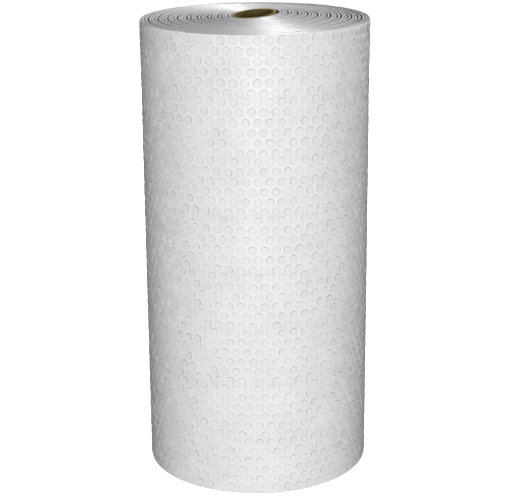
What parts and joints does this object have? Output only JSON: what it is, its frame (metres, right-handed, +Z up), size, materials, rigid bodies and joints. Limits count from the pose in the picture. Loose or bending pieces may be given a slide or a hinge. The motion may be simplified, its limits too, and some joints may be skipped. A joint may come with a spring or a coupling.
{
  "type": "bubble wrap roll",
  "caption": "Roll of clear bubble cushioning film wound round a hollow cardboard tube, standing on its end, for wrapping goods in transit.",
  "frame": {"origin": "the core tube's axis, at the roll's lower end", "axes": "+Z up along the core tube's axis; the film's free end lies at the back, 62 degrees round from +X towards +Y"},
  "size_m": [0.2963, 0.2941, 0.6],
  "materials": {
    "film": "glossy, milky white polyethylene film",
    "cardboard": "matt brown board, spirally wound"
  },
  "bodies": {
    "root": {"bubble_film": "film", "core_tube": "cardboard"}
  },
  "joints": []
}
